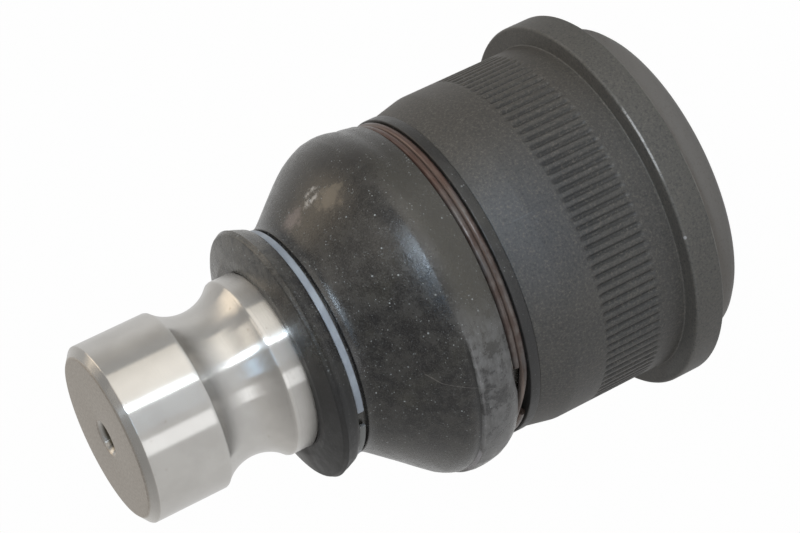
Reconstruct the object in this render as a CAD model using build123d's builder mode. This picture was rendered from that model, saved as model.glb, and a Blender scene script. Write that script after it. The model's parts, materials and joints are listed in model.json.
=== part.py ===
"""Press-in suspension ball joint with a pinch-clamped stud.

The origin is the centre of the ball, and +Z runs up the stud. Millimetres.
"""

import os
from math import cos, radians, sin, sqrt

from build123d import *

os.makedirs("parts", exist_ok=True)

# ---------------------------------------------------------------- driving dimensions
# Ball stud
ball_d = 30.0
neck_d = 17.0  # straight neck that swings inside the mouth
neck_top = 16.5  # height of the neck's upper end above the ball's centre
cone_len = 6.7  # cone from the neck up to the seal land
neck_round = 1.5
ball_flat_d = 8.0
clamp_land_d = 24.0  # land held in the split eye of the knuckle
seal_land_step = 0.2  # how much lower the ground land under the boot's lip is
clamp_land_low = 33.0  # where the clamping land starts
clamp_land_len = 22.0
end_chamfer_len = 1.0
end_chamfer_in = 1.3
pinch_groove_at = 40.4  # height of the pinch bolt's centre line
pinch_groove_r = 6.5  # an M12 bolt with clearance
pinch_groove_depth = 2.05
pinch_groove_edge = 0.4
centre_hole_d = 2.5
centre_hole_depth = 4.0
centre_sink_d = 4.4
centre_sink_angle = 60.0

# Housing, outside
press_d = 46.0  # pressed into the control arm
press_high = 2.0  # top of the full press diameter, where the lead-in taper starts
lead_in_drop = 1.0  # how much the taper takes off the radius
rim_round = 0.5
flange_reach = 2.6  # how far the flange stands out of the press diameter
flange_high = -14.8  # the face that seats on the control arm
flange_thick = 4.2
flange_round = 0.6
flange_back_round = 0.3
flange_root_round = 0.6
rear_ring_wall = 2.8  # steel round the cover
rolled_round = 2.2
# Serrations that stop the housing from turning in the control arm
serration_count = 110
serration_high = -2.6
serration_len = 8.6
serration_depth = 0.32
serration_floor = 0.20  # width at the bottom of a groove
serration_flare = 1.36  # width as far outside the press diameter as the groove is deep
# Groove for the boot's collar, and the lip above it
groove_depth = 2.2
groove_low = 6.6
groove_len = 5.3
collar_lip_reach = 0.9  # how far the lip stands out of the groove's floor
collar_lip_len = 1.2
# Housing, inside
bore_high = 1.5  # where the bore starts to close over the ball
throat_catch = 0.7  # how far the throat reaches in over the ball, so it can't pull out
throat_low = 7.2
throat_len = 0.6
mouth_flare = 2.3  # how far the mouth opens again above the throat
# End cover
cover_thick = 2.4
cover_ledge = 1.1  # how far the cover reaches past the bore
cover_dish_d = 20.0
cover_dish_depth = 0.9
cover_dish_slope = 2.0
rolled_over = 1.9  # how far the rolled lip reaches over the cover
rolled_thick = 2.3

# Seats and preload spring
seat_wall = 3.4  # plastic round the ball's equator
seat_split_gap = 0.8  # gap between the two seats at the ball's equator
seat_pocket_d = 10.0  # grease pocket under the ball
seat_floor = 1.7  # plastic left under the ball
spring_thick = 1.4
spring_room = 2.9  # height between the cup and the cover
spring_in_d = 16.0
spring_side_gap = 0.8

# Dust boot
boot_wall = 1.8
boot_press_gap = 0.2  # belly inside the press diameter, so the joint passes through its bore
boot_belly_up = 1.3  # belly's widest point above the housing's lip
boot_belly_round = 8.0
boot_under_in = 0.8  # how far the belly curls in below its widest point
boot_cone_angle = 38.6  # degrees from the axis
boot_waist_round = 2.5
collar_wall = 1.0  # rubber under the wire ring
collar_bead_reach = 1.3  # how far the bead stands out below the wire ring
collar_bead_len = 1.3
bead_round = 0.35
lip_gap = 0.2  # lip's front below the clamping land
lip_len = 5.8  # from the waist to the lip's front
lip_wall = 3.7  # rubber between the stud and the waist
lip_reach = 1.4  # how far the lip's rim stands out of the waist
lip_back_reach = 0.7
lip_rim_down = 1.8  # middle of the rim below the lip's front
lip_rim_len = 0.9

# Wire ring, lock ring and the steel ring in the boot's lip
wire_d = 1.0
wire_gap = 0.04  # between the two turns
wire_side_gap = 0.1
wire_end_at = -130.0  # degrees round from +X, where the upper turn starts
wire_step = 26.0  # degrees over which the wire steps down to its second turn
lock_ring_width = 1.05
lock_ring_thick = 0.6
lock_groove_depth = 0.6
lock_groove_up = 0.65  # groove above the waist
lock_ring_play = 0.35  # free length of the groove below the ring
lock_ring_end_at = -133.0  # degrees round from +X
lock_ring_opening = 9.0  # degrees between its ends
insert_stud_gap = 0.5
insert_up = 1.0  # lower end above the waist
insert_len = 3.8
insert_wall = 1.0
insert_flange_reach = 1.3
insert_flange_up = 1.95  # flange above the lower end

# Clearances
ball_fit = 0.05  # ball in its seats
seat_fit = 0.05  # seats, spring and cover in the housing
boot_fit = 0.10  # boot on the housing, the stud, its rings and its insert
boot_shoulder_gap = 0.15  # boot's collar above the housing's shoulder

# ---------------------------------------------------------------- worked-out sizes
ball_r = ball_d / 2
neck_r = neck_d / 2
clamp_r = clamp_land_d / 2
seal_r = clamp_r - seal_land_step
stud_end = clamp_land_low + clamp_land_len + end_chamfer_len
press_r = press_d / 2
flange_r = press_r + flange_reach
flange_low = flange_high - flange_thick
shoulder_r = press_r - lead_in_drop
groove_floor_r = shoulder_r - groove_depth
groove_high = groove_low + groove_len
collar_lip_r = groove_floor_r + collar_lip_reach
collar_high = groove_high + collar_lip_len
bore_r = ball_r + ball_fit + seat_wall + seat_fit
throat_r = ball_r - throat_catch
mouth_r = throat_r + mouth_flare
cover_r = bore_r + cover_ledge
rear_ring_r = cover_r + rear_ring_wall
seat_r = bore_r - seat_fit
seat_low = -(ball_r + seat_floor)
cover_high = seat_low - spring_room
cover_low = cover_high - cover_thick
base_z = cover_low - rolled_thick


def on_sphere(radius, height):
    """Point of a sphere's outline, as (distance from the axis, height)."""
    return (sqrt(radius**2 - height**2), height)


def rims(piece, radius, height):
    """The circular edges of a turned piece with this radius at this height."""
    return piece.edges().filter_by(GeomType.CIRCLE).filter_by(
        lambda e: abs(e.radius - radius) < 1e-4 and abs(e.center().Z - height) < 1e-4
    )


def finish(piece, name):
    """Label a finished piece and write it out."""
    piece.part.label = name
    export_step(piece.part, f"parts/{name}.step")


# ---------------------------------------------------------------- ball stud
groove_half = sqrt(pinch_groove_r**2 - (pinch_groove_r - pinch_groove_depth) ** 2)
groove_start = pinch_groove_at - groove_half
groove_end = pinch_groove_at + groove_half
ball_flat = (ball_flat_d / 2, -sqrt(ball_r**2 - (ball_flat_d / 2) ** 2))
ball_top = sqrt(ball_r**2 - neck_r**2)
clamp_high = stud_end - end_chamfer_len

with BuildPart() as ball_stud:
    with BuildSketch(Plane.XZ):
        with BuildLine():
            Line((0, ball_flat[1]), ball_flat)
            ThreePointArc(ball_flat, (ball_r, 0), (neck_r, ball_top))
            Polyline(
                (neck_r, ball_top),
                (neck_r, neck_top),
                (seal_r, neck_top + cone_len),
                (seal_r, clamp_land_low),
                (clamp_r, clamp_land_low),
                (clamp_r, groove_start),
            )
            ThreePointArc(
                (clamp_r, groove_start),
                (clamp_r - pinch_groove_depth, pinch_groove_at),
                (clamp_r, groove_end),
            )
            Polyline(
                (clamp_r, groove_end),
                (clamp_r, clamp_high),
                (clamp_r - end_chamfer_in, stud_end),
                (0, stud_end),
                (0, ball_flat[1]),
            )
        make_face()
    revolve(axis=Axis.Z)
    fillet(rims(ball_stud, neck_r, neck_top), neck_round)
    fillet(rims(ball_stud, seal_r, neck_top + cone_len), neck_round)
    fillet(rims(ball_stud, clamp_r, groove_start), pinch_groove_edge)
    fillet(rims(ball_stud, clamp_r, groove_end), pinch_groove_edge)
    with Locations((0, 0, stud_end)):
        CounterSinkHole(centre_hole_d / 2, centre_sink_d / 2, centre_hole_depth, centre_sink_angle)
finish(ball_stud, "ball_stud")

# ---------------------------------------------------------------- housing
with BuildPart() as housing:
    with BuildSketch(Plane.XZ):
        with BuildLine():
            Polyline(
                (0, base_z),
                (rear_ring_r, base_z),
                (rear_ring_r, flange_low),
                (flange_r, flange_low),
                (flange_r, flange_high),
                (press_r, flange_high),
                (press_r, press_high),
                (shoulder_r, groove_low),
                (groove_floor_r, groove_low),
                (groove_floor_r, groove_high),
                (collar_lip_r, groove_high),
                (collar_lip_r, collar_high),
                (0, collar_high),
                close=True,
            )
        make_face()
    revolve(axis=Axis.Z)
    fillet(rims(housing, rear_ring_r, base_z), rolled_round)
    fillet(rims(housing, rear_ring_r, flange_low), flange_root_round)
    fillet(rims(housing, flange_r, flange_high), flange_round)
    fillet(rims(housing, flange_r, flange_low), flange_back_round)
    fillet(rims(housing, press_r, flange_high), flange_root_round)
    fillet(rims(housing, shoulder_r, groove_low), rim_round)
    fillet(rims(housing, collar_lip_r, collar_high), rim_round)

    # Room for the cover, the seats and the ball, closing over the ball at the throat, and a
    # mouth that opens again for the swinging neck
    with BuildSketch(Plane.XZ):
        with BuildLine():
            Polyline(
                (0, base_z),
                (cover_r - rolled_over, base_z),
                (cover_r - rolled_over, cover_low),
                (cover_r, cover_low),
                (cover_r, cover_high),
                (bore_r, cover_high),
                (bore_r, bore_high),
                (throat_r, throat_low),
                (throat_r, throat_low + throat_len),
                (mouth_r, collar_high),
                (0, collar_high),
                close=True,
            )
        make_face()
    revolve(axis=Axis.Z, mode=Mode.SUBTRACT)

    # Serrations, pressed into the outside as grooves along the axis
    with BuildSketch(Plane.XY.offset(serration_high)):
        with PolarLocations(press_r, serration_count):
            Polygon(
                (-serration_depth, -serration_floor / 2),
                (serration_depth, -serration_flare / 2),
                (serration_depth, serration_flare / 2),
                (-serration_depth, serration_floor / 2),
            )
    extrude(amount=-serration_len, mode=Mode.SUBTRACT)
finish(housing, "housing")

# ---------------------------------------------------------------- end cover
with BuildPart() as end_cover:
    with BuildSketch(Plane.XZ):
        with BuildLine():
            Polyline(
                (0, cover_low - cover_dish_depth),
                (cover_dish_d / 2, cover_low - cover_dish_depth),
                (cover_dish_d / 2 + cover_dish_slope, cover_low),
                (cover_r - seat_fit, cover_low),
                (cover_r - seat_fit, cover_high),
                (cover_dish_d / 2 + cover_dish_slope, cover_high),
                (cover_dish_d / 2, cover_high - cover_dish_depth),
                (0, cover_high - cover_dish_depth),
                close=True,
            )
        make_face()
    revolve(axis=Axis.Z)
finish(end_cover, "end_cover")

# ---------------------------------------------------------------- bearing seats
socket_r = ball_r + ball_fit
seat_split = seat_split_gap / 2
seat_high = throat_low - seat_fit
pocket_r = seat_pocket_d / 2

with BuildPart() as stud_side_seat:
    with BuildSketch(Plane.XZ):
        with BuildLine():
            ThreePointArc(
                on_sphere(socket_r, seat_split),
                on_sphere(socket_r, (seat_split + seat_high) / 2),
                on_sphere(socket_r, seat_high),
            )
            Polyline(
                on_sphere(socket_r, seat_high),
                (throat_r - seat_fit, seat_high),
                (seat_r, bore_high - seat_fit),
                (seat_r, seat_split),
                on_sphere(socket_r, seat_split),
            )
        make_face()
    revolve(axis=Axis.Z)
finish(stud_side_seat, "stud_side_seat")

with BuildPart() as cap_side_seat:
    pocket_top = -sqrt(socket_r**2 - pocket_r**2)
    with BuildSketch(Plane.XZ):
        with BuildLine():
            ThreePointArc(
                on_sphere(socket_r, -seat_split),
                on_sphere(socket_r, pocket_top / 2),
                (pocket_r, pocket_top),
            )
            Polyline(
                (pocket_r, pocket_top),
                (pocket_r, seat_low),
                (seat_r, seat_low),
                (seat_r, -seat_split),
                on_sphere(socket_r, -seat_split),
            )
        make_face()
    revolve(axis=Axis.Z)
finish(cap_side_seat, "cap_side_seat")

# ---------------------------------------------------------------- preload spring
# A dished washer: its inner edge bears on the cup and its outer edge on the cover.
spring_top = seat_low - seat_fit
spring_foot = cover_high + seat_fit
spring_out_r = bore_r - spring_side_gap

with BuildPart() as preload_spring:
    with BuildSketch(Plane.XZ):
        with BuildLine():
            Polyline(
                (spring_in_d / 2, spring_top - spring_thick),
                (spring_in_d / 2, spring_top),
                (spring_out_r, spring_foot + spring_thick),
                (spring_out_r, spring_foot),
                close=True,
            )
        make_face()
    revolve(axis=Axis.Z)
finish(preload_spring, "preload_spring")

# ---------------------------------------------------------------- dust boot
collar_in_r = groove_floor_r + boot_fit
collar_low = groove_low + boot_shoulder_gap
bead_high = collar_low + collar_bead_len
wire_floor_r = collar_in_r + collar_wall
wire_room = 2 * wire_d + wire_gap + 2 * wire_side_gap
belly_low = bead_high + wire_room
bead_r = wire_floor_r + collar_bead_reach
belly_r = press_r - boot_press_gap
belly_at = collar_high + boot_belly_up
belly_inner_r = belly_r - boot_wall
hat_r = collar_lip_r + boot_fit  # round the housing's boot lip
hat_high = collar_high + boot_fit
lean = radians(boot_cone_angle)
lip_front = clamp_land_low - lip_gap
lip_bore_r = seal_r + boot_fit
waist_at = lip_front - lip_len
waist_r = lip_bore_r + lip_wall
lip_r = waist_r + lip_reach
lip_rim_at = lip_front - lip_rim_down
rim_low = lip_rim_at - lip_rim_len / 2
rim_high = lip_rim_at + lip_rim_len / 2
lock_floor_r = waist_r - lock_groove_depth
lock_groove_low = waist_at + lock_groove_up
lock_ring_low = lock_groove_low + boot_fit + lock_ring_play
lock_groove_high = lock_ring_low + lock_ring_width + boot_fit


def on_shoulder(wall):
    """Where the belly's curve runs into the cone, this far inside the rubber."""
    radius = boot_belly_round - wall
    return (belly_r - boot_belly_round + radius * cos(lean), belly_at + radius * sin(lean))


def on_waist(wall):
    """Where the cone runs into the waist's curve, this far inside the rubber."""
    radius = boot_waist_round + wall
    return (waist_r + boot_waist_round - radius * cos(lean), waist_at - radius * sin(lean))


with BuildPart() as dust_boot:
    with BuildSketch(Plane.XZ):
        with BuildLine():
            # Inside, from the lip down to the collar
            Line((lip_bore_r, waist_at), (waist_r - boot_wall, waist_at))
            TangentArc((waist_r - boot_wall, waist_at), on_waist(boot_wall), tangent=(0, -1))
            Line(on_waist(boot_wall), on_shoulder(boot_wall))
            TangentArc(
                (belly_inner_r, belly_at), on_shoulder(boot_wall), tangent=(0, 1)
            )
            Polyline(
                (belly_inner_r, belly_at),
                (hat_r, hat_high),
                (hat_r, groove_high - boot_fit),
                (collar_in_r, groove_high - boot_fit),
                (collar_in_r, collar_low),
                (bead_r, collar_low),
                (bead_r, bead_high),
                (wire_floor_r, bead_high),
                (wire_floor_r, belly_low),
                (belly_r - boot_under_in, belly_low),
            )
            # Outside, from the belly up to the lip
            TangentArc(
                (belly_r, belly_at), (belly_r - boot_under_in, belly_low), tangent=(0, -1)
            )
            TangentArc((belly_r, belly_at), on_shoulder(0), tangent=(0, 1))
            Line(on_shoulder(0), on_waist(0))
            TangentArc((waist_r, waist_at), on_waist(0), tangent=(0, -1))
            Polyline(
                (waist_r, waist_at),
                (waist_r, lock_groove_low),
                (lock_floor_r, lock_groove_low),
                (lock_floor_r, lock_groove_high),
                (waist_r + lip_back_reach, lock_groove_high),
                (lip_r, rim_low),
                (lip_r, rim_high),
                (lip_bore_r, lip_front),
                (lip_bore_r, waist_at),
            )
        make_face()
    revolve(axis=Axis.Z)
    fillet(rims(dust_boot, lip_r, rim_low), bead_round)
    fillet(rims(dust_boot, lip_r, rim_high), bead_round)
    fillet(rims(dust_boot, bead_r, bead_high), bead_round)
    fillet(rims(dust_boot, bead_r, collar_low), bead_round)

    # Pocket for the steel ring, open to the bore
    insert_in_r = seal_r + insert_stud_gap
    insert_out_r = insert_in_r + insert_wall
    insert_flange_r = insert_out_r + insert_flange_reach
    insert_low = waist_at + insert_up
    insert_high = insert_low + insert_len
    flange_step = insert_low + insert_flange_up
    with BuildSketch(Plane.XZ):
        with BuildLine():
            Polyline(
                (0, insert_low - boot_fit),
                (insert_out_r + boot_fit, insert_low - boot_fit),
                (insert_out_r + boot_fit, flange_step - boot_fit),
                (insert_flange_r + boot_fit, flange_step - boot_fit),
                (insert_flange_r + boot_fit, flange_step + insert_wall + boot_fit),
                (insert_out_r + boot_fit, flange_step + insert_wall + boot_fit),
                (insert_out_r + boot_fit, insert_high + boot_fit),
                (0, insert_high + boot_fit),
                close=True,
            )
        make_face()
    revolve(axis=Axis.Z, mode=Mode.SUBTRACT)
finish(dust_boot, "dust_boot")

# ---------------------------------------------------------------- ring moulded into the lip
with BuildPart() as boot_lip_insert:
    with BuildSketch(Plane.XZ):
        with BuildLine():
            Polyline(
                (insert_in_r, insert_low),
                (insert_out_r, insert_low),
                (insert_out_r, flange_step),
                (insert_flange_r, flange_step),
                (insert_flange_r, flange_step + insert_wall),
                (insert_out_r, flange_step + insert_wall),
                (insert_out_r, insert_high),
                (insert_in_r, insert_high),
                close=True,
            )
        make_face()
    revolve(axis=Axis.Z)
finish(boot_lip_insert, "boot_lip_insert")

# ---------------------------------------------------------------- wire ring
# Two flat turns of wire round the boot's collar, like a key ring, with a step between them.
wire_coil_r = wire_floor_r + boot_fit + wire_d / 2
wire_low = bead_high + wire_side_gap + wire_d / 2
wire_high = wire_low + wire_d + wire_gap
step_at = wire_end_at - wire_step


def radial_plane(angle):
    """The half plane through the axis at this angle: local X outwards, local Y up."""
    a = radians(angle)
    return Plane(origin=(0, 0, 0), x_dir=(cos(a), sin(a), 0), z_dir=(sin(a), -cos(a), 0))


def on_coil(angle, height):
    """Point of the wire's centre line."""
    a = radians(angle)
    return (wire_coil_r * cos(a), wire_coil_r * sin(a), height)


def along_coil(angle):
    """Direction of the flat turns at this angle."""
    a = radians(angle)
    return (-sin(a), cos(a), 0)


with BuildPart() as boot_wire_ring:
    with BuildSketch(radial_plane(wire_end_at)):
        with Locations((wire_coil_r, wire_low), (wire_coil_r, wire_high)):
            Circle(wire_d / 2)
    revolve(axis=Axis.Z, revolution_arc=360 - wire_step)
    with BuildLine() as step:
        Spline(
            on_coil(step_at, wire_high),
            on_coil(step_at + wire_step / 2, (wire_high + wire_low) / 2),
            on_coil(wire_end_at, wire_low),
            tangents=(along_coil(step_at), along_coil(wire_end_at)),
        )
    with BuildSketch(Plane(origin=step.line @ 0, z_dir=step.line % 0)):
        Circle(wire_d / 2)
    sweep(path=step.line)
finish(boot_wire_ring, "boot_wire_ring")

# ---------------------------------------------------------------- lock ring
# A flat band, split so that it can be sprung over the lip.
lock_in_r = lock_floor_r + boot_fit

with BuildPart() as boot_lock_ring:
    with BuildSketch(radial_plane(lock_ring_end_at)):
        with Locations((lock_in_r, lock_ring_low)):
            Rectangle(lock_ring_thick, lock_ring_width, align=(Align.MIN, Align.MIN))
    revolve(axis=Axis.Z, revolution_arc=360 - lock_ring_opening)
finish(boot_lock_ring, "boot_lock_ring")
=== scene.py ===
"""Dresses the suspension ball joint: turned steel, coated housing, rubber boot and its rings."""

import json
import math

import bpy
from mathutils import Matrix, Vector


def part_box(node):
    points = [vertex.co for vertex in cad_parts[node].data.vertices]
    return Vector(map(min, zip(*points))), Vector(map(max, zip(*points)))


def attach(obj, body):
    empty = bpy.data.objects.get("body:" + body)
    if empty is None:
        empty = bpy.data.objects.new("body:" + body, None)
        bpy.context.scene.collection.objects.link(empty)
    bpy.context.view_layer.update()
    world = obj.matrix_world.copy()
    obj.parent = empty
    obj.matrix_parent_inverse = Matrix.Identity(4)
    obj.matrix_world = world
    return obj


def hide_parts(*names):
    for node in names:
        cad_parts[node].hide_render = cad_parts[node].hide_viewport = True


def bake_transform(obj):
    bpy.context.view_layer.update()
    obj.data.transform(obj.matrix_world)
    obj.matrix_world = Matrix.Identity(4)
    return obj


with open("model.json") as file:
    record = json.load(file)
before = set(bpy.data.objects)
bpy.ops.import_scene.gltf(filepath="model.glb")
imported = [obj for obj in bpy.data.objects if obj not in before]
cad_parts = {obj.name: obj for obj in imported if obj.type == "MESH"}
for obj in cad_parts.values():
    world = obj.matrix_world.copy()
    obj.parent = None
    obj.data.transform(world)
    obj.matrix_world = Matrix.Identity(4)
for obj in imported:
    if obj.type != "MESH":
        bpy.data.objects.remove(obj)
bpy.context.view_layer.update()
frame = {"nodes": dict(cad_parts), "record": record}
MM = 0.001
mounts = {mount["name"]: mount for mount in frame["record"]["mounts"]}
bpy.ops.object.select_all(action="DESELECT")

# ---------------------------------------------------------------- housing
# A cold-formed steel body with a satin charcoal coating. It is turned outside, rolled over its
# cover at the back, and 110 grooves are pressed along the axis so that it can't turn in the arm.


def rounded(outline, steps=5):
    """Points of a turned outline; a corner written (radius, height, rounding) becomes an arc."""
    points = []
    for i, corner in enumerate(outline):
        here = Vector(corner[:2])
        if len(corner) < 3:
            points.append(tuple(here))
            continue
        back = (Vector(outline[i - 1][:2]) - here).normalized()
        on = (Vector(outline[(i + 1) % len(outline)][:2]) - here).normalized()
        half = back.angle(on) / 2
        middle = here + (back + on).normalized() * corner[2] / math.sin(half)
        start = here + back * corner[2] / math.tan(half) - middle
        end = here + on * corner[2] / math.tan(half) - middle
        for k in range(steps + 1):
            turn = start.angle_signed(end) * k / steps
            points.append(tuple(middle + Matrix.Rotation(-turn, 2) @ start))
    return points


def select_level(piece, z):
    """Leave only the vertices at this height, in metres, selected in edit mode."""
    bpy.ops.object.mode_set(mode="EDIT")
    bpy.ops.mesh.select_mode(type="VERT")
    bpy.ops.mesh.select_all(action="DESELECT")
    bpy.ops.object.mode_set(mode="OBJECT")
    for vertex in piece.data.vertices:
        vertex.select = abs(vertex.co.z - z) < 1e-7
    bpy.ops.object.mode_set(mode="EDIT")


def close_on_axis(rise):
    """Draw the selected ring in to a point on the axis, this many mm further along."""
    bpy.ops.mesh.extrude_edges_move(TRANSFORM_OT_translate={"value": (0, 0, rise * MM)})
    bpy.ops.mesh.merge(type="CENTER")


def turned(name, outline, columns):
    """A ring of vertices drawn along an outline in mm, like a piece on a lathe.

    An outline that starts and ends on the axis is closed there, and any other is a closed loop.
    """
    solid = outline[0][0] == 0
    rings = outline[1:-1] if solid else outline + outline[:1]
    radius, height = (value * MM for value in rings[0])
    bpy.ops.mesh.primitive_circle_add(
        vertices=columns, radius=radius, location=(0, 0, height), enter_editmode=True
    )
    piece = bpy.context.object
    piece.name = piece.data.name = name
    bpy.ops.mesh.select_all(action="SELECT")
    for next_radius, next_height in rings[1:]:
        rise = next_height * MM - height
        bpy.ops.mesh.extrude_edges_move(TRANSFORM_OT_translate={"value": (0, 0, rise)})
        wider = next_radius * MM / radius
        if wider != 1:
            bpy.ops.transform.resize(value=(wider, wider, 1), center_override=(0, 0, 0))
        radius, height = next_radius * MM, next_height * MM
    if solid:
        close_on_axis(outline[-1][1] - outline[-2][1])
        bpy.ops.object.mode_set(mode="OBJECT")
        bpy.ops.object.transform_apply(location=True)
        select_level(piece, outline[1][1] * MM)
        close_on_axis(outline[0][1] - outline[1][1])
    bpy.ops.mesh.select_all(action="SELECT")
    bpy.ops.mesh.remove_doubles(threshold=1e-6)
    bpy.ops.mesh.normals_make_consistent(inside=False)
    bpy.ops.object.mode_set(mode="OBJECT")
    bpy.ops.object.transform_apply(location=True)
    bpy.ops.object.shade_smooth_by_angle(angle=math.radians(32))
    piece.select_set(False)
    return piece


class Finish:
    """A node material that reads Object coordinates in mm, with short ways to add its nodes."""

    def __init__(self, name, roughness, metallic=0.0, specular=0.5):
        self.material = bpy.data.materials.new(name)
        self.material.use_nodes = True
        self.nodes = self.material.node_tree.nodes
        self.links = self.material.node_tree.links
        self.surface = self.nodes["Principled BSDF"]
        self.surface.inputs["Roughness"].default_value = roughness
        self.surface.inputs["Metallic"].default_value = metallic
        self.surface.inputs["Specular IOR Level"].default_value = specular
        in_mm = self.nodes.new("ShaderNodeVectorMath")
        in_mm.operation = "SCALE"
        in_mm.inputs["Scale"].default_value = 1 / MM
        self.links.new(self.nodes.new("ShaderNodeTexCoord").outputs["Object"], in_mm.inputs[0])
        self.place = in_mm.outputs[0]
        self.base = None
        self.bumps = None

    def feed(self, socket, value):
        """Give a socket a number, a colour or another node's output."""
        if isinstance(value, (int, float)):
            socket.default_value = value
        elif isinstance(value, tuple):
            socket.default_value = (*value, 1)
        else:
            self.links.new(value, socket)

    def maths(self, kind, *values):
        """One step of arithmetic on numbers or other nodes' outputs."""
        node = self.nodes.new("ShaderNodeMath")
        node.operation = kind
        for socket, value in zip(node.inputs, values):
            self.feed(socket, value)
        return node.outputs[0]

    def times(self, first, *others):
        """All of these multiplied together."""
        for other in others:
            first = self.maths("MULTIPLY", first, other)
        return first

    def polar(self):
        """Radius in mm, angle in degrees round from +X and height in mm."""
        split = self.nodes.new("ShaderNodeSeparateXYZ")
        self.links.new(self.place, split.inputs[0])
        x, y, z = split.outputs
        radius = self.maths("SQRT", self.maths("MULTIPLY_ADD", x, x, self.times(y, y)))
        return radius, self.maths("DEGREES", self.maths("ARCTAN2", y, x)), z

    def point(self, x, y, z):
        """A place put together from three values in mm, for noise to read."""
        node = self.nodes.new("ShaderNodeCombineXYZ")
        for socket, value in zip(node.inputs, (x, y, z)):
            self.feed(socket, value)
        return node.outputs[0]

    def noise(self, size, detail=3.0, at=None, roughness=0.55):
        """Noise from 0 to 1 whose features are about this many mm wide."""
        node = self.nodes.new("ShaderNodeTexNoise")
        node.inputs["Scale"].default_value = 1 / size
        node.inputs["Detail"].default_value = detail
        node.inputs["Roughness"].default_value = roughness
        self.links.new(at or self.place, node.inputs["Vector"])
        return node.outputs[0]

    def spots(self, size, share):
        """Round specks in some of the cells of this size, as wide as this share of a cell."""
        node = self.nodes.new("ShaderNodeTexVoronoi")
        node.inputs["Scale"].default_value = 1 / size
        self.links.new(self.place, node.inputs["Vector"])
        split = self.nodes.new("ShaderNodeSeparateXYZ")
        self.links.new(node.outputs["Color"], split.inputs[0])
        kept = self.step(split.outputs[0], 0.6, 0.95)
        return self.times(kept, self.step(node.outputs["Distance"], share, share * 0.5))

    def patch(self, place, size, ragged):
        """1 round a place on the surface, with a ragged edge, and 0 further away."""
        away = self.nodes.new("ShaderNodeVectorMath")
        away.operation = "DISTANCE"
        self.links.new(self.place, away.inputs[0])
        away.inputs[1].default_value = place
        wave = self.times(self.noise(size * 0.6, 4, roughness=0.7), ragged * 2 * size)
        reach = self.maths("ADD", away.outputs["Value"], wave)
        return self.step(reach, size * (1 + ragged), size * (0.4 + ragged))

    def step(self, value, low, high):
        """0 at low and beyond, 1 at high and beyond, whichever of them is the larger."""
        node = self.nodes.new("ShaderNodeMapRange")
        node.interpolation_type = "SMOOTHSTEP"
        limits = (low, high, 0.0, 1.0) if low < high else (high, low, 1.0, 0.0)
        self.feed(node.inputs[0], value)
        for socket, limit in zip(list(node.inputs)[1:5], limits):
            socket.default_value = limit
        return node.outputs[0]

    def near(self, value, centre, half, soft):
        """1 within half of the centre, falling to 0 over soft."""
        off = self.maths("ABSOLUTE", self.maths("SUBTRACT", value, centre))
        return self.step(off, half + soft, half)

    def scaled(self, mask, low, high):
        """A mask of 0 to 1 made to run from low to high."""
        return self.maths("MULTIPLY_ADD", mask, high - low, low)

    def mix(self, share, a, b):
        """Colour a where the share is 0, and b where it is 1."""
        node = self.nodes.new("ShaderNodeMix")
        node.data_type = "RGBA"
        self.feed(node.inputs["Factor"], share)
        self.feed(node.inputs[6], a)
        self.feed(node.inputs[7], b)
        return node.outputs[2]

    def colour(self, value):
        """Set the colour that the layers are laid over."""
        self.base = value
        self.feed(self.surface.inputs["Base Color"], value)

    def layer(self, colour, mask, strength=1.0):
        """Lay a colour over those before where the mask is 1, at this strength."""
        self.colour(self.mix(self.times(mask, strength), self.base, colour))

    def rough(self, least, *more):
        """Set the roughness: the least, and what each (mask, amount) adds to it."""
        for mask, amount in more:
            least = self.maths("MULTIPLY_ADD", mask, amount, least)
        self.feed(self.surface.inputs["Roughness"], least)

    def relief(self, height, depth):
        """Bump this many mm deep for a height of 0 to 1, on top of those before."""
        node = self.nodes.new("ShaderNodeBump")
        node.inputs["Distance"].default_value = depth * MM
        self.feed(node.inputs["Height"], height)
        if self.bumps:
            self.links.new(self.bumps, node.inputs["Normal"])
        self.bumps = node.outputs[0]
        self.links.new(self.bumps, self.surface.inputs["Normal"])

    def put_on(self, piece):
        """Make this a piece's only material."""
        piece.data.materials.clear()
        piece.data.materials.append(self.material)


press_r = mounts["housing_press_fit"]["dims"]["r_mm"]
base_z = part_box("housing")[0][2] / MM
housing_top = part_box("housing")[1][2] / MM
flange_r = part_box("housing")[1][0] / MM
flange_top = mounts["flange_seat"]["pos_m"][2] / MM
flange_thick = 4.2
flange_low = flange_top - flange_thick
groove_low, groove_high, groove_r = 6.6, 11.9, 19.8  # where the boot's collar sits
groove_lip = 0.9
taper_from, taper_in = 2.0, 1.0
mouth_r, throat_r = 16.6, 14.3
throat_low, throat_high, shoulder_z = 7.2, 7.8, 1.5
cover_dish = 0.9
cover_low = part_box("end_cover")[0][2] / MM + cover_dish
cover_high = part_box("end_cover")[1][2] / MM
bore_r, cover_r, rear_r = press_r - 4.5, press_r - 3.4, press_r - 0.6
rolled_r = cover_r - 1.9  # inner edge of the steel rolled over the cover
serrations, columns_each = 110, 10
serration_depth = 0.40
groove_share, flank_share = 0.62, 0.34  # of half a groove's pitch
run_out = 0.75  # length over which a groove rises to the surface at its ends
band_low, band_high = -11.2, -2.6

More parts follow.
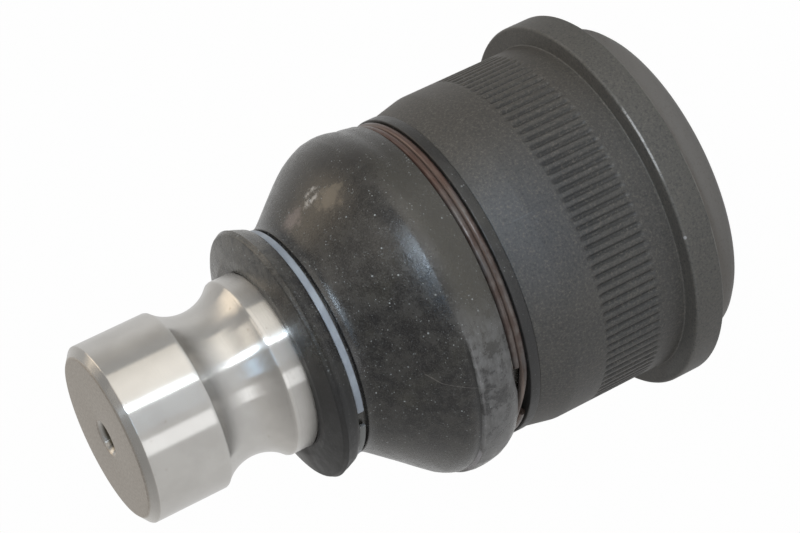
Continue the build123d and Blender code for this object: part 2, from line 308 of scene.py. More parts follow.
# Rows of vertices lie close together where the grooves run out
band_rows = [(press_r, band_low - d) for d in (0.7, 0.25, 0.0, -0.25, -0.6)]
band_rows += [(press_r, band_high - d) for d in (0.9, 0.5, 0.2, 0.0, -0.3)]
housing = turned(
    "housing_body",
    rounded([
        (rolled_r, base_z, 0.3),
        (rear_r, base_z, 2.6),
        (rear_r, flange_low, 0.5),
        (flange_r, flange_low, 0.35),
        (flange_r, flange_top, 0.45),
        (press_r, flange_top, 0.2),
        *band_rows,
        (press_r, taper_from, 4.0),
        (press_r - taper_in, groove_low, 0.2),
        (groove_r, groove_low),
        (groove_r, groove_high),
        (groove_r + groove_lip, groove_high),
        (groove_r + groove_lip, housing_top, 0.3),
        (mouth_r, housing_top),
        (throat_r, throat_high),
        (throat_r, throat_low),
        (bore_r, shoulder_z),
        (bore_r, cover_high),
        (cover_r, cover_high),
        (cover_r, cover_low),
        (rolled_r, cover_low),
    ]),
    columns=serrations * columns_each,
)

# The grooves: the surface is pushed in where this group's weight is high
groove_group = housing.vertex_groups.new(name="grooves")
for vertex in housing.data.vertices:
    radius, z = math.hypot(vertex.co.x, vertex.co.y) / MM, vertex.co.z / MM
    if abs(radius - press_r) < 0.01 and band_low - 0.01 < z < band_high + 0.01:
        turn = math.atan2(vertex.co.y, vertex.co.x) / (2 * math.pi) * serrations
        across = abs(turn - round(turn)) * 2
        end = min(z - band_low, band_high - z)
        flank = min(1, max(0, (groove_share - across) / flank_share))
        groove_group.add([vertex.index], flank * min(1, end / run_out), "REPLACE")
press_in = housing.modifiers.new("grooves", "DISPLACE")
press_in.vertex_group = "grooves"
press_in.mid_level = 0
press_in.strength = -serration_depth * MM
bpy.context.view_layer.objects.active = housing
bpy.ops.object.modifier_apply(modifier="grooves")

coating = Finish("housing_coating", roughness=0.5, metallic=0.15, specular=0.4)
radius, turn, z = coating.polar()
cloud = coating.noise(9, 4)
grain = coating.noise(0.30, 3, roughness=0.7)
speckle = coating.noise(0.32, 3, roughness=0.8)
ring_from = -19.0  # height below which the rear ring is bare of pits and painted paler, as painted light
off_ring = coating.step(z, ring_from - 0.4, ring_from)
charcoal, charcoal_light = (0.058, 0.056, 0.0535), (0.074, 0.070, 0.0645)
coating.colour(coating.mix(coating.step(cloud, 0.35, 0.7), charcoal, charcoal_light))
coating.layer((0.090, 0.087, 0.082), coating.step(grain, 0.42, 0.62), 0.6)
# The upper side is warmer: painted warm light.
coating.layer((0.073, 0.063, 0.051), coating.near(turn, -14, 24, 44), 0.55)

# The flange's front edge is bright in broken stretches: a painted highlight on the side near -80
# degrees, and faint wear elsewhere. Small scuffs lie all over.
rim_edge = coating.times(
    coating.near(radius, flange_r - 0.06, 0.06, 0.10),
    coating.near(z, flange_top - 0.20, 0.05, 0.14),
)
rim_highlight_side = coating.scaled(coating.near(turn, -80, 6, 9), 0.06, 0.96)
broken = coating.step(coating.noise(1.6, 4), 0.30, 0.52)
coating.layer((0.62, 0.62, 0.62), coating.times(rim_edge, rim_highlight_side, broken))
scuffs = coating.step(coating.noise(1.1, 5, roughness=0.75), 0.68, 0.76)
coating.layer((0.15, 0.15, 0.15), scuffs, 0.22)

# Painted shade darkens the grooves, painted light makes the flange and the rear ring paler toward
# the back, and the flange's back edge is paler
band_middle, band_half = (band_low + band_high) / 2, (band_high - band_low) / 2
# Painted shade down in the grooves.
deep = coating.step(radius, press_r - 0.05, press_r - 0.34)
deep = coating.times(deep, coating.near(z, band_middle, band_half, 0.3))
coating.layer((0.024, 0.024, 0.024), deep, 0.55)
# Painted light: the flange and, still more, the rear ring behind it are paler.
coating.layer((0.109, 0.104, 0.094), coating.step(z, -14, -15.4), 0.55)
coating.layer((0.205, 0.190, 0.176), coating.step(z, ring_from, ring_from - 0.4), 0.6)
back_edge = coating.times(
    coating.near(z, flange_low + 0.12, 0.05, 0.12),
    coating.step(coating.noise(2.5, 4), 0.40, 0.58),
)
coating.layer((0.25, 0.24, 0.22), back_edge, 0.55)

# A painted bluish sheen by the boot, a pale speckle all over, and dark pits ahead of the rear ring
painted_blue_sheen = coating.times(coating.near(turn, -86, 4, 30), coating.near(z, 3.0, 1, 9))
coating.layer((0.072, 0.080, 0.094), painted_blue_sheen, 0.45)
coating.layer((0.132, 0.121, 0.106), coating.step(speckle, 0.54, 0.64), 0.7)
coating.layer((0.036, 0.036, 0.038), coating.times(coating.step(speckle, 0.46, 0.36), off_ring), 0.6)

# A chip on the flange, and two crossed scuffs beside the boot
chip_at = (-8.67, -24.07, -14.95)
coating.layer((0.40, 0.40, 0.41), coating.patch(chip_at, 0.34, 0.3), 0.7)
along = coating.times(coating.near(turn, -84.0, 0.10, 0.25), coating.near(z, 2.8, 1.2, 0.3))
round_it = coating.times(coating.near(z, 1.45, 0.04, 0.09), coating.near(turn, -86.3, 1.8, 0.5))
crossed = coating.times(coating.maths("MAXIMUM", along, round_it), coating.step(grain, 0.30, 0.55))
coating.layer((0.155, 0.165, 0.180), crossed, 0.28)
coating.rough(0.42, (cloud, 0.14))
coating.relief(grain, 0.018)
coating.relief(coating.noise(0.12, 2), 0.010)
coating.put_on(housing)
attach(housing, "housing")
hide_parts("housing")

# ---------------------------------------------------------------- end cover
# A pressed steel plate with a shallow dish, held behind the housing's rolled lip and coated
# with it.
dish_r, dish_edge_r = 10.0, 12.0
plate_r = cover_r - 0.05
end_cover = turned(
    "end_cover_plate",
    rounded([
        (0, cover_low - cover_dish),
        (dish_r, cover_low - cover_dish, 0.8),
        (dish_edge_r, cover_low, 0.8),
        (plate_r, cover_low),
        (plate_r, cover_high),
        (dish_edge_r, cover_high),
        (dish_r, cover_high - cover_dish),
        (0, cover_high - cover_dish),
    ]),
    columns=192,
)
coating.put_on(end_cover)
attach(end_cover, "housing")
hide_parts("end_cover")

# ---------------------------------------------------------------- ball stud
# Forged steel, turned bright. Fine lathe marks run round it, the pinch groove was cut with a
# form tool, and the end keeps the mark of the lathe's centre.
stud_r = mounts["stud_clamp"]["dims"]["r_mm"]
stud_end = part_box("ball_stud")[1][2] / MM
ball_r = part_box("ball_stud")[1][0] / MM
ball_flat_r = 4.0
neck_r, neck_low, neck_high = 8.5, 14.0, 16.5
seal_r, seal_low = stud_r - 0.2, 23.2
land_low = 33.0
pinch_z = mounts["pinch_bolt_groove"]["pos_m"][2] / MM
pinch_r = mounts["pinch_bolt_groove"]["dims"]["r_mm"]
pinch_depth = 2.05
chamfer_in, chamfer_long = 1.3, 1.0
mark_r, mark_deep = 2.55, 1.64
pilot_r, pilot_deep, pilot_tip = 1.25, 4.0, 4.6


def arc(centre_r, centre_z, size, first, last, steps):
    """Points of an arc in a turned outline, from one angle to another in degrees."""
    turns = [math.radians(first + (last - first) * k / steps) for k in range(steps + 1)]
    return [(centre_r + size * math.cos(t), centre_z + size * math.sin(t)) for t in turns]


ball_low = -math.sqrt(ball_r**2 - ball_flat_r**2)
ball_from = math.degrees(math.asin(ball_low / ball_r))
ball_to = math.degrees(math.acos(neck_r / ball_r))
# The pinch groove's arc stops just short of the land, so that its edge is eased
pinch_reach = math.acos((pinch_r - pinch_depth) / pinch_r)
pinch_half = pinch_r * math.sin(pinch_reach)
pinch_centre = stud_r - pinch_depth + pinch_r
pinch_turn = math.degrees(pinch_reach) * 0.985
pinch_edge = [(stud_r, 0.5), (stud_r, 0.12), (stud_r - 0.04, 0.0)]
ball_stud = turned(
    "ball_stud_turned",
    [(0, ball_low)]
    + arc(0, 0, ball_r, ball_from, ball_to, steps=24)
    + rounded([
        (neck_r, neck_low),
        (neck_r, neck_high, 1.5),
        (seal_r, seal_low, 1.5),
        (seal_r, land_low),
        (stud_r, land_low),
    ])
    + [(r, pinch_z - pinch_half - off) for r, off in pinch_edge]
    + arc(pinch_centre, pinch_z, pinch_r, 180 + pinch_turn, 180 - pinch_turn, steps=28)
    + [(r, pinch_z + pinch_half + off) for r, off in reversed(pinch_edge)]
    + rounded([
        (stud_r, pinch_z + pinch_half + pinch_edge[0][1]),
        (stud_r, stud_end - chamfer_long, 0.25),
        (stud_r - chamfer_in, stud_end, 0.2),
        (mark_r, stud_end, 0.15),
        (pilot_r, stud_end - mark_deep),
        (pilot_r, stud_end - pilot_deep),
        (0, stud_end - pilot_tip),
    ])[1:],
    columns=256,
)

steel = Finish("turned_steel", roughness=0.24, metallic=1.0)
radius, _, z = steel.polar()
lines = steel.noise(0.16, 2, at=steel.point(radius, 0.0, z))
fine = steel.noise(0.05, 1, at=steel.point(radius, 0.0, z))
blotch = steel.noise(5, 4)
steel.colour(steel.mix(steel.step(blotch, 0.3, 0.7), (0.605, 0.59, 0.565), (0.67, 0.655, 0.63)))
steel.layer((0.42, 0.36, 0.31), steel.step(steel.noise(0.5, 4), 0.66, 0.74), 0.6)
# The faced end is duller and pitted, and its centre mark is darkened: grime, and painted shade in
# the hole.
on_end = steel.step(z, stud_end - 0.3, stud_end - 0.05)
pitted = steel.step(steel.noise(0.40, 3, roughness=0.7), 0.40, 0.62)
steel.layer(steel.mix(pitted, (0.50, 0.455, 0.405), (0.60, 0.555, 0.50)), on_end)
centre_grime_and_shade = steel.times(steel.step(radius, 2.3, 1.9), steel.step(z, stud_end - 6, stud_end - 5))
steel.layer((0.10, 0.088, 0.065), centre_grime_and_shade)
steel.rough(0.17, (lines, 0.08), (blotch, 0.05), (on_end, 0.16))
# The lathe's marks draw a highlight out, except on the faced end
grain_turn = steel.nodes.new("ShaderNodeTangent")
grain_turn.direction_type = "RADIAL"
grain_turn.axis = "Z"
steel.links.new(grain_turn.outputs[0], steel.surface.inputs["Tangent"])
steel.feed(steel.surface.inputs["Anisotropic"], steel.scaled(on_end, 1.0, 0.0))
steel.surface.inputs["Anisotropic Rotation"].default_value = 0.25
steel.relief(lines, 0.004)
steel.relief(fine, 0.0015)
steel.put_on(ball_stud)
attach(ball_stud, "stud")
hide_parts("ball_stud")

# ---------------------------------------------------------------- dust boot
# Black moulded rubber, dusty and mottled. Its collar is clamped on the housing and its lip,
# which has the mould's parting line round its rim, seals on the stud.
boot_gap, collar_rest = 0.1, 0.04
collar_r = groove_r + boot_gap
collar_low, collar_high = groove_low + collar_rest, groove_high - boot_gap
bead_high = collar_low + 1.45
wire_floor = collar_r + 1.0
bead_r = wire_floor + 1.3
belly_low = bead_high + 2.2
lip_bore = seal_r + boot_gap
lip_front, lip_back = land_low - 0.2, 31.9
rim_r, rim_z = 17.06, 31.36
parting_in, parting_half = 0.08, 0.11
insert_r, insert_low, insert_high = 15.3, 29.85, 31.05
rib_r, rib_high, rib_low = 13.4, 27.9, 27.0
ring_floor, ring_low, ring_high = 15.0, 27.65, 29.25
neck_out = 15.6

collar = rounded([
    (collar_r, collar_low),
    (bead_r, collar_low, 0.1),
    (bead_r, bead_high, 0.15),
    (wire_floor, bead_high),
    (wire_floor, belly_low),
    (21.8, belly_low + 0.35),
    (22.6, 11.0, 0.2),
])
belly = [(22.78, 11.9), (23.0, 12.6), (23.28, 13.3), (23.46, 14.1), (23.54, 14.8), (23.53, 15.5)]
# Rows lie close together where the rubber has creased
belly += [(23.42, 16.1), (23.36, 16.35), (23.33, 16.47), (23.30, 16.58), (23.26, 16.7)]
belly += [(23.05, 17.1), (22.85, 17.45), (22.55, 17.95), (22.26, 18.4), (21.64, 19.3)]
belly += [(20.94, 20.25), (20.2, 21.2), (19.4, 22.15), (18.6, 23.1), (17.75, 24.1)]
belly += [(16.95, 25.05), (16.25, 25.9), (15.8, 26.6)]
lip = rounded([
    (neck_out, 27.2),
    (neck_out, ring_low, 0.15),
    (ring_floor, ring_low),
    (ring_floor, ring_high),
    (16.25, ring_high, 0.3),
    (16.75, 30.5, 0.8),
    (rim_r - parting_in, rim_z - parting_half),
    (rim_r, rim_z),
    (rim_r - parting_in, rim_z + parting_half),
    (16.75, 31.95, 0.45),
    (rib_r, 32.75, 1.2),
    (lip_bore, lip_front - 0.1),
    (lip_bore, lip_back),
    (rib_r, lip_back),
    (rib_r, insert_high),
    (insert_r, insert_high),
    (insert_r, insert_low),
    (rib_r, insert_low),
    (rib_r, rib_high),
    (lip_bore, rib_high),
    (lip_bore, rib_low),
    (13.8, rib_low, 0.3),
])
inside = [(14.1, 25.7), (14.9, 24.2), (16.2, 22.5), (17.6, 20.8), (19.0, 19.1), (20.2, 17.6)]
inside += [(21.2, 16.0), (21.7, 14.6), (21.5, 13.8), (20.8, 13.2)]
inside += [(20.8, collar_high), (collar_r, collar_high)]
dust_boot = turned("dust_boot_rubber", collar + belly + lip + inside, columns=288)


def smooth(value, low, high):
    """0 at low and beyond, 1 at high and beyond, eased between them."""
    share = min(1, max(0, (value - low) / (high - low)))
    return share * share * (3 - 2 * share)


# The rubber has settled: its belly leans to one side, hangs over the wire ring there, laps
# over the end of the wire, and has creased above it. Given are the direction and the mm.
settling = {
    "creased": ("NORMAL", -0.30),
    "bulging": ("X", -0.22),
    "leaning": ("X", -0.55),
    "hanging": ("Z", -0.90),
    "lapping": ("Z", -0.55),
}
groups = {name: dust_boot.vertex_groups.new(name=name) for name in settling}
for vertex in dust_boot.data.vertices:
    x, y, z = vertex.co / MM
    radius, turn = math.hypot(x, y), math.degrees(math.atan2(y, x)) % 360
    away = -x / radius  # 1 on the side that the belly leans to
    outside = smooth(radius, 22.3, 22.7)
    weights = {
        "creased": smooth(away, 0.25, 0.7) * smooth(radius, 20.5, 21)
        * smooth(z, 16.40, 16.5) * smooth(z, 17.3, 16.6),
        "bulging": smooth(away, 0.1, 0.9) * smooth(radius, 19.5, 20.3)
        * smooth(z, 16.5, 18.3) * smooth(z, 21.8, 19),
        "leaning": smooth(z, 10.8, 13) * smooth(z, 20, 15.5),
        "hanging": (1 + away) / 2 * outside * smooth(z, 20, 13),
        "lapping": smooth(turn, 234, 222) * smooth(turn, 130, 160) * outside * smooth(z, 16, 12),
    }
    for name, weight in weights.items():
        groups[name].add([vertex.index], weight, "REPLACE")
bpy.context.view_layer.objects.active = dust_boot
for name, (direction, distance) in settling.items():
    push = dust_boot.modifiers.new(name, "DISPLACE")
    push.vertex_group = name
    push.direction = direction
    push.mid_level = 0
    push.strength = distance * MM
    bpy.ops.object.modifier_apply(modifier=name)

rubber = Finish("boot_rubber", roughness=0.5, specular=0.65)
rubber.surface.inputs["Sheen Weight"].default_value = 0.03
rubber.surface.inputs["Sheen Roughness"].default_value = 0.4
radius, turn, z = rubber.polar()
# Angles run on past half a turn, so that no mark ends in a step there
turn = rubber.maths("MULTIPLY_ADD", rubber.maths("GREATER_THAN", turn, 90), -360, turn)
streak_run = math.radians(7.0)  # mm to a degree: a third of the arc, which draws streaks out
round_axis = rubber.point(rubber.times(turn, streak_run), radius, z)
mottle = rubber.noise(2.2, 6, roughness=0.72)
tint = rubber.noise(7.5, 3)
black, dusty_black = (0.0065, 0.0062, 0.0065), (0.029, 0.027, 0.024)
rubber.colour(rubber.mix(rubber.step(mottle, 0.40, 0.62), black, dusty_black))
rubber.layer((0.040, 0.037, 0.026), rubber.step(tint, 0.5, 0.75), 0.5)
warm = rubber.times(rubber.near(z, 12.4, 2.0, 2.6), rubber.near(turn, -78, 24, 26))
rubber.layer((0.060, 0.054, 0.041), warm, 0.75)
# The lip's upper side is paler and warmer in patches: painted light.
lip_top_light = rubber.times(
    rubber.near(turn, -10, 32, 30),
    rubber.step(z, 29, 31),
    rubber.step(rubber.noise(1.2, 5, roughness=0.7), 0.30, 0.60),
)
rubber.layer((0.15, 0.137, 0.116), lip_top_light, 0.5)
film = rubber.step(rubber.noise(0.20, 4, roughness=0.8), 0.48, 0.64)
rubber.layer((0.074, 0.071, 0.067), film, 0.50)
fluff = rubber.step(rubber.noise(0.26, 2, roughness=0.6), 0.64, 0.76)
rubber.layer((0.15, 0.155, 0.16), fluff, 0.55)
# The upper side, below the lip, is darker and browner: painted shade.
upper_side_shade = rubber.times(rubber.near(turn, -14, 22, 34), rubber.step(z, 27, 24))
rubber.layer((0.014, 0.010, 0.005), upper_side_shade, 0.62)

# Dust lies below the crease, in streaks that run round
crease_z = 16.28
streaks = rubber.step(rubber.noise(0.55, 5, at=round_axis, roughness=0.72), 0.36, 0.60)
clots = rubber.step(rubber.noise(2.2, 4, roughness=0.65), 0.34, 0.60)
clean = rubber.patch((-15.6, -16.9, 12.9), 2.0, 0.5)
dusty = rubber.times(
    rubber.step(z, crease_z - 0.03, crease_z - 0.26),
    rubber.step(z, 9.6, 10.4),
    rubber.near(turn, -146, 27, 22),
    rubber.scaled(clots, 0.12, 0.87),
    rubber.scaled(streaks, 0.4, 1.0),
    rubber.scaled(clean, 1.0, 0.25),
)
rubber.layer((0.175, 0.172, 0.170), dusty)

# Painted shade makes the crease black, with a painted highlight beside it
crease_turn = rubber.near(turn, -136, 20, 10)
crease = rubber.times(crease_turn, rubber.near(z, crease_z, 0.12, 0.14))
rubber.layer((0.004, 0.004, 0.004), crease, 0.9)
beside = rubber.times(crease_turn, rubber.near(z, crease_z - 0.48, 0.05, 0.14))
rubber.layer((0.21, 0.20, 0.20), rubber.times(beside, rubber.scaled(streaks, 0.2, 0.9)), 0.45)
# A painted highlight on a fold further round.
fold_highlight = rubber.times(rubber.near(turn, -167, 7, 5), rubber.near(z, 15.95, 0.08, 0.12))
rubber.layer((0.34, 0.32, 0.34), fold_highlight, 0.7)

# The rubber's edge over the wire is rubbed pale, and steps down where the wire ends
edge_z = rubber.scaled(rubber.step(turn, -126, -138), 10.40, 9.85)
edge = rubber.times(
    rubber.near(turn, -137, 10, 5),
    rubber.near(z, edge_z, 0.10, 0.16),
    rubber.step(rubber.noise(0.5, 4, roughness=0.7), 0.34, 0.56),
)
rubber.layer((0.46, 0.44, 0.39), edge, 0.8)

# Handling has left pale, tan and pinkish marks near the lip, and light specks all over
pale = rubber.patch((15.8, -11.07, 22.1), 1.7, 0.9)
pale = rubber.times(pale, rubber.step(rubber.noise(0.9, 5, roughness=0.7), 0.45, 0.62))
rubber.layer((0.42, 0.39, 0.36), pale, 0.7)
rubber.layer((0.13, 0.105, 0.075), rubber.patch((14.76, -13.82, 20.93), 2.6, 1.0), 0.65)
rubber.layer((0.16, 0.125, 0.115), rubber.patch((14.35, -8.93, 25.03), 2.0, 1.0), 0.65)
fine_specks = rubber.times(rubber.spots(0.36, 0.27), rubber.step(mottle, 0.40, 0.60))
specks = rubber.maths("MAXIMUM", rubber.spots(1.3, 0.12), fine_specks)
rubber.layer((0.38, 0.40, 0.40), specks, 0.75)

# A hair-fine scratch: nearly level at its upper end, then down toward the wire ring
level_at, level_z, level_rise = -118.7, 21.1, 0.3125
steep_at, steep_z, steep_rise = -126.8, 16.1, 0.97
level_part = rubber.maths("MULTIPLY_ADD", turn, level_rise, level_z - level_at * level_rise)
steep_part = rubber.maths("MULTIPLY_ADD", turn, steep_rise, steep_z - steep_at * steep_rise)
scratch_z = rubber.maths("SMOOTH_MIN", level_part, steep_part, 0.6)
scratch = rubber.times(rubber.near(z, scratch_z, 0.03, 0.09), rubber.near(turn, -124.3, 5.2, 1.2))
rubber.layer((0.24, 0.22, 0.20), scratch, 0.36)

# The lip's lower side is darkened as painted shade, and so is the collar's bead all round, which is
# darker rubber, with more painted shade on its lower side
lip_lower_shade = rubber.times(rubber.near(turn, -158, 34, 36), rubber.step(z, 29.2, 30))
bead_dark_and_shade = rubber.scaled(rubber.near(turn, -156, 38, 26), 0.45, 0.95)
bead_dark_and_shade = rubber.times(bead_dark_and_shade, rubber.step(z, 8.6, 8.2))
shade_and_dark_rubber = rubber.maths("MAXIMUM", lip_lower_shade, bead_dark_and_shade)
rubber.layer((0.006, 0.006, 0.0065), shade_and_dark_rubber, 0.72)
rubber.rough(0.17, (rubber.step(mottle, 0.3, 0.7), 0.15), (shade_and_dark_rubber, 0.25), (dusty, 0.25))
rubber.relief(rubber.noise(0.25, 4, roughness=0.7), 0.03)
rubber.relief(specks, 0.03)
rubber.put_on(dust_boot)
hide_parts("dust_boot")
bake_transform(dust_boot)

# ---------------------------------------------------------------- wire ring
# Copper-brown spring wire in two flat turns round the boot's collar, like a key ring, with a
# step from one turn down to the other.
wire_d = 1.0
bead_gap, turns_gap = 0.03, 0.04
wire_r = wire_floor + boot_gap + wire_d / 2
wire_low = bead_high + bead_gap + wire_d / 2
wire_high = wire_low + wire_d + turns_gap
wire_end, wire_step = -130.0, 26.0  # degrees
steps_flat, steps_ramp = 160, 26  # bends in a flat turn and in the step


def turn_selected(degrees):
    """Turn what is selected about the axis; with no window the operator turns backwards."""
    bpy.ops.transform.rotate(
        value=-math.radians(degrees), orient_axis="Z", center_override=(0, 0, 0)
    )


def bend_on(degrees, drop, steps):
    """Carry the selected end face on round the axis, easing it down by drop on the way."""
    fallen = 0.0
    for k in range(steps):
        bpy.ops.mesh.extrude_region_move()
        turn_selected(degrees / steps)
        target = drop * smooth((k + 1) / steps, 0, 1)
        bpy.ops.transform.translate(value=(0, 0, (fallen - target) * MM))
        fallen = target


def place_ring(first_end):
    """Point a bent ring's faces outward and turn it until its first end is at this angle."""
    bpy.ops.mesh.select_all(action="SELECT")
    bpy.ops.mesh.normals_make_consistent(inside=False)
    turn_selected(first_end)
    bpy.ops.object.mode_set(mode="OBJECT")


bpy.ops.mesh.primitive_circle_add(
    vertices=20,
    radius=wire_d / 2 * MM,
    fill_type="NGON",
    location=(wire_r * MM, 0, wire_high * MM),
    rotation=(math.pi / 2, 0, 0),
)
wire_ring = bpy.context.object
wire_ring.name = wire_ring.data.name = "boot_wire"
bpy.ops.object.transform_apply(location=True, rotation=True)
bpy.ops.object.mode_set(mode="EDIT")
bpy.ops.mesh.select_all(action="SELECT")
bend_on(360 - wire_step, 0, steps_flat)
bend_on(wire_step, wire_high - wire_low, steps_ramp)
bend_on(360 - wire_step, 0, steps_flat)
place_ring(wire_end)
bpy.ops.object.shade_smooth_by_angle(angle=math.radians(40))

wire = Finish("brown_wire", roughness=0.3, metallic=0.35)
radius, turn, z = wire.polar()
stain = wire.noise(2.0, 5, roughness=0.65)
drawn_run = math.radians(1.6)  # mm to a degree, which draws the die's marks out along the wire
drawn = wire.noise(0.22, 3, at=wire.point(wire.times(turn, drawn_run), radius, z))
wire.colour(wire.mix(wire.step(stain, 0.38, 0.62), (0.072, 0.048, 0.040), (0.128, 0.108, 0.098)))
wire.layer((0.098, 0.088, 0.084), wire.step(wire.noise(5, 3), 0.5, 0.68))
wire.layer((0.10, 0.052, 0.038), wire.near(turn, -42, 14, 20), 0.7)
# The valley between the turns is lighter: pale dirt there, and painted light against its shade.
between = wire.near(z, (wire_low + wire_high) / 2, 0.10, 0.22)
wire.layer((0.21, 0.155, 0.13), between, 0.6)
wire.rough(0.14, (drawn, 0.34))
wire.relief(drawn, 0.02)
wire.put_on(wire_ring)
wire_ring.select_set(False)
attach(wire_ring, "housing")
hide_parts("boot_wire_ring")

# ---------------------------------------------------------------- lock ring
# A flat bluish-grey band sprung into the groove behind the boot's lip. It is split, and the
# corners of its ends are rounded.
band_in, band_out = ring_floor + 0.1, 15.7
ring_band_low, ring_band_high = 28.1, ring_high - 0.1
band_end, band_gap = -133.0, 9.0  # degrees
steps_band = 180

bpy.ops.mesh.primitive_plane_add(
    size=1,
    location=((band_in + band_out) / 2 * MM, 0, (ring_band_low + ring_band_high) / 2 * MM),
    rotation=(math.pi / 2, 0, 0),
)
lock_ring = bpy.context.object
lock_ring.name = lock_ring.data.name = "boot_lock_band"
lock_ring.scale = ((band_out - band_in) * MM, (ring_band_high - ring_band_low) * MM, 1)
bpy.ops.object.transform_apply(location=True, rotation=True, scale=True)
bpy.ops.object.mode_set(mode="EDIT")
bpy.ops.mesh.select_all(action="SELECT")
bend_on(360 - band_gap, 0, steps_band)
place_ring(band_end)
edges = lock_ring.modifiers.new("edges", "BEVEL")
edges.width = 0.16 * MM
edges.segments = 4
edges.angle_limit = math.radians(40)
bpy.ops.object.modifier_apply(modifier="edges")
bpy.ops.object.shade_smooth_by_angle(angle=math.radians(40))

zinc = Finish("grey_band", roughness=0.42, metallic=0.2)
_, turn, _ = zinc.polar()
bloom = zinc.noise(2.5, 4)
zinc.colour(zinc.mix(zinc.step(bloom, 0.35, 0.7), (0.26, 0.29, 0.335), (0.33, 0.365, 0.41)))
zinc.layer((0.15, 0.15, 0.135), zinc.near(turn, -153, 10, 3), 0.8)
zinc.rough(0.32, (bloom, 0.2))
zinc.relief(zinc.noise(0.25, 2), 0.01)
zinc.put_on(lock_ring)
lock_ring.select_set(False)
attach(lock_ring, "boot_lip")
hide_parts("boot_lock_ring")

# ---------------------------------------------------------------- seats, spring and lip insert
# Pieces inside: two acetal bearing seats round the ball, the dished preload spring of oiled
# steel, and the plain steel ring moulded into the boot's lip.
acetal = Finish("seat_plastic", roughness=0.45)
acetal.colour(acetal.mix(acetal.noise(4, 3), (0.72, 0.70, 0.64), (0.84, 0.82, 0.76)))
acetal.relief(acetal.noise(0.3, 2), 0.01)
oiled = Finish("spring_steel", roughness=0.35, metallic=1.0)
oiled.colour(oiled.mix(oiled.noise(3, 4), (0.22, 0.21, 0.20), (0.36, 0.35, 0.33)))
plain = Finish("insert_steel", roughness=0.4, metallic=1.0)
rust = plain.step(plain.noise(1.5, 4), 0.55, 0.7)
plain.colour(plain.mix(rust, (0.40, 0.39, 0.38), (0.25, 0.18, 0.13)))
inner = {
    "stud_side_seat": acetal,
    "cap_side_seat": acetal,
    "preload_spring": oiled,
    "boot_lip_insert": plain,
}
for node, finish in inner.items():
    finish.put_on(frame["nodes"][node])

# ---------------------------------------------------------------- table, light and camera
# A white table under the housing's rolled lip, soft lamps, and a long lens low over the table.
table_wide = 6.0  # metres
table_z = base_z - 0.05
table_white = 0.985  # what the camera sees of it
bpy.ops.mesh.primitive_plane_add(size=table_wide, location=(0, 0, table_z * MM))
floor = bpy.context.object
floor.name = "floor"
table = Finish("table_white", roughness=0.8)
table.colour((0.62, 0.62, 0.62))
_, turn, _ = table.polar()
glow = table.nodes.new("ShaderNodeEmission")
glow.inputs["Strength"].default_value = 1.0
ray = table.nodes.new("ShaderNodeLightPath")
# The room's far side is dark, and a polished surface shows that in the table
in_gloss = table.scaled(table.near(turn, -10, 8, 32), 0.56, 0.08)
seen = table.times(ray.outputs["Is Glossy Ray"], in_gloss)
seen = table.maths("MULTIPLY_ADD", ray.outputs["Is Camera Ray"], table_white, seen)
mixed = table.nodes.new("ShaderNodeMixShader")
table.links.new(seen, mixed.inputs[0])
table.links.new(table.surface.outputs[0], mixed.inputs[1])
table.links.new(glow.outputs[0], mixed.inputs[2])
table.links.new(mixed.outputs[0], table.nodes["Material Output"].inputs["Surface"])
floor.data.materials.append(table.material)

# The room is brighter low down than overhead, and the camera sees it white
world = bpy.data.worlds.new("studio")
bpy.context.scene.world = world
world.use_nodes = True
nodes, links = world.node_tree.nodes, world.node_tree.links
room = nodes["Background"]
room.inputs["Color"].default_value = (0.985, 0.97, 0.945, 1)
where = nodes.new("ShaderNodeTexCoord")
height = nodes.new("ShaderNodeSeparateXYZ")
links.new(where.outputs["Generated"], height.inputs[0])
level = nodes.new("ShaderNodeMapRange")
low_light, high_light = 0.62, 0.34
limits = {"From Min": 0.15, "From Max": 0.85, "To Min": low_light, "To Max": high_light}
for name, limit in limits.items():
    level.inputs[name].default_value = limit
links.new(height.outputs[2], level.inputs["Value"])
links.new(level.outputs[0], room.inputs["Strength"])
backdrop = nodes.new("ShaderNodeBackground")
backdrop.inputs["Color"].default_value = (1, 1, 1, 1)
backdrop.inputs["Strength"].default_value = 1.0
ray = nodes.new("ShaderNodeLightPath")
mixed = nodes.new("ShaderNodeMixShader")
links.new(ray.outputs["Is Camera Ray"], mixed.inputs[0])
links.new(room.outputs[0], mixed.inputs[1])
links.new(backdrop.outputs[0], mixed.inputs[2])
links.new(mixed.outputs[0], nodes["World Output"].inputs["Surface"])


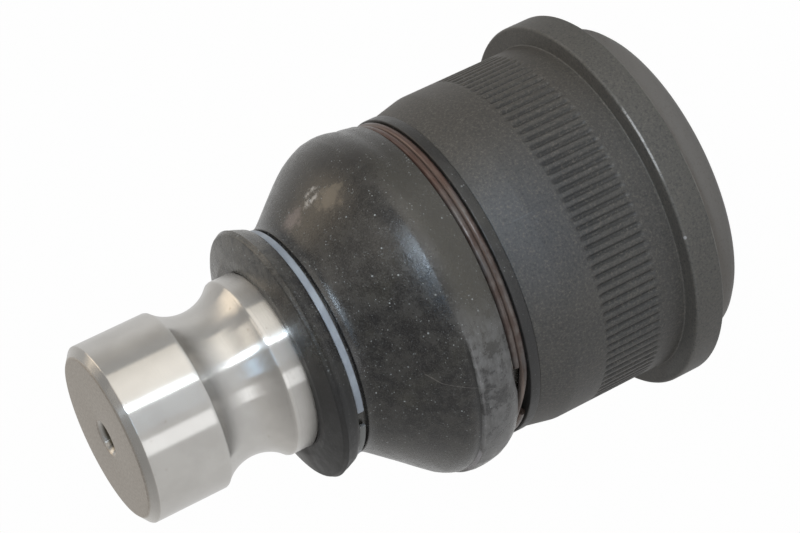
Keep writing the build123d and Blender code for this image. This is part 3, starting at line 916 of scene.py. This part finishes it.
def softbox(name, azimuth, elevation, distance, width, height, level, colour, target_z):
    """A lamp that faces the axis: degrees, then metres, then its brightness (1 is white)."""
    a, e = math.radians(azimuth), math.radians(elevation)
    towards = Vector((math.cos(e) * math.cos(a), math.cos(e) * math.sin(a), math.sin(e)))
    lamp = bpy.data.lights.new(name, "AREA")
    lamp.shape = "RECTANGLE"
    lamp.size, lamp.size_y = width, height
    lamp.energy = math.pi * width * height * level
    lamp.color = colour
    holder = bpy.data.objects.new(name, lamp)
    bpy.context.scene.collection.objects.link(holder)
    holder.location = Vector((0, 0, target_z)) + towards * distance
    holder.rotation_euler = towards.to_track_quat("Z", "Y").to_euler()
    holder.visible_camera = False
    return holder


# Azimuth, elevation, distance, width, height, brightness, colour, and the height it faces
softbox("key_lamp", -69, 24, 0.55, 0.055, 0.07, 68.0, (0.70, 0.85, 1.0), 0.015)
softbox("key_tail", -90, 28, 0.55, 0.20, 0.07, 3.2, (0.46, 0.71, 1.0), 0.015)
softbox("warm_box_low", -46, 0, 0.16, 0.135, 0.08, 0.80, (1.0, 0.93, 0.81), 0.020)
softbox("warm_box_high", -44, 42, 0.45, 0.24, 0.18, 1.0, (1.0, 0.92, 0.80), 0.040)
softbox("warm_side", 18, 34, 0.50, 0.30, 0.20, 1.2, (1.0, 0.84, 0.64), 0.010)
softbox("bright_strip", -73, 0, 0.16, 0.006, 0.08, 7.0, (0.96, 0.98, 1.0), 0.020)
softbox("cool_strip", -120, 0, 0.16, 0.052, 0.08, 1.0, (0.95, 0.97, 1.0), 0.020)
# The fill lights what is matt, and polished steel doesn't show it
fill = softbox("front_fill", -96, 4, 0.50, 0.30, 0.16, 1.8, (1.0, 0.98, 0.95), -0.020)
fill.visible_glossy = False

# The camera lies over on its side, so that the stud points down to the left
camera_data = bpy.data.cameras.new("camera")
camera_data.sensor_width = 36.0
camera_data.lens = 119.38
camera_data.clip_start = 0.01
camera = bpy.data.objects.new("camera", camera_data)
bpy.context.scene.collection.objects.link(camera)
bpy.context.scene.camera = camera
right = Vector((-0.43311617, -0.30393252, -0.848549))
up = Vector((0.90133811, -0.1460474, -0.40774964))
eye = Vector((3.38387972, -320.82157241, 126.60580343)) * MM
facing = Matrix((right, up, right.cross(up))).transposed().to_4x4()
camera.matrix_world = Matrix.Translation(eye) @ facing

bpy.context.scene.view_settings.view_transform = "Standard"
